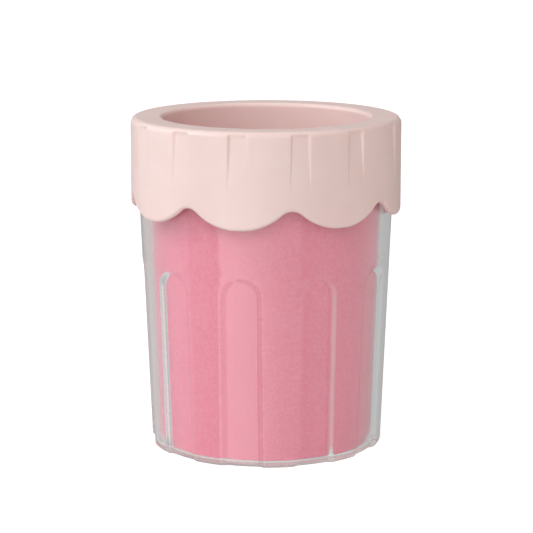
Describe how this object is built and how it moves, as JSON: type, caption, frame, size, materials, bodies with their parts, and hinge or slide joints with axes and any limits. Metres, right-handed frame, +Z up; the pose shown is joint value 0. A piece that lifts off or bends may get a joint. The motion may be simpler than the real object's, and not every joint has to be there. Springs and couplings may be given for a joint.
{
  "type": "paw washer cup",
  "caption": "Clear fluted cup with a coloured inner cup, bristle sleeve and a screw-down collar with a scalloped skirt; a paw goes in through the round top opening.",
  "frame": {"origin": "centre of the underside of the foot ring, on the axis of the cup", "axes": "+Z up along the axis of the cup; -Y points at the middle of one flute and one lobe of the skirt"},
  "size_m": [0.0972, 0.0972, 0.12],
  "materials": {
    "clear_shell": "clear, polished outside, fine satin inside",
    "foot_silicone": "satin, translucent",
    "pink_cup": "satin",
    "seal_silicone": "satin",
    "brush_silicone": "satin",
    "pale_plastic": "satin",
    "collar_plastic": "satin gloss"
  },
  "bodies": {
    "outer_shell": {"outer_shell": "clear_shell", "foot_ring": "foot_silicone"},
    "inner_cup": {"inner_cup": "pink_cup", "shell_seal_ring": "seal_silicone", "floor_brush": "brush_silicone"},
    "brush": {"brush_sleeve": "brush_silicone", "brush_hoop": "pale_plastic"},
    "collar": {"collar_cover": "collar_plastic", "collar_screw_ring": "pale_plastic", "rim_gasket": "seal_silicone"}
  },
  "joints": [
    {"name": "inner_cup_lift", "type": "slide", "parent": "outer_shell", "child": "inner_cup", "axis": [0, 0, 1], "range_m": [0, 0.105]},
    {"name": "collar_lift", "type": "slide", "parent": "inner_cup", "child": "brush", "axis": [0, 0, 1], "range_m": [0, 0.0301]},
    {"name": "collar_twist", "type": "hinge", "parent": "brush", "child": "collar", "pos_m": [0, 0, 0.11], "axis": [0, 0, 1], "range_deg": [0, 450]}
  ],
  "couplings": [
    {"joint": "collar_lift", "follows": "collar_twist", "m_per_rad": 0.0038197}
  ]
}
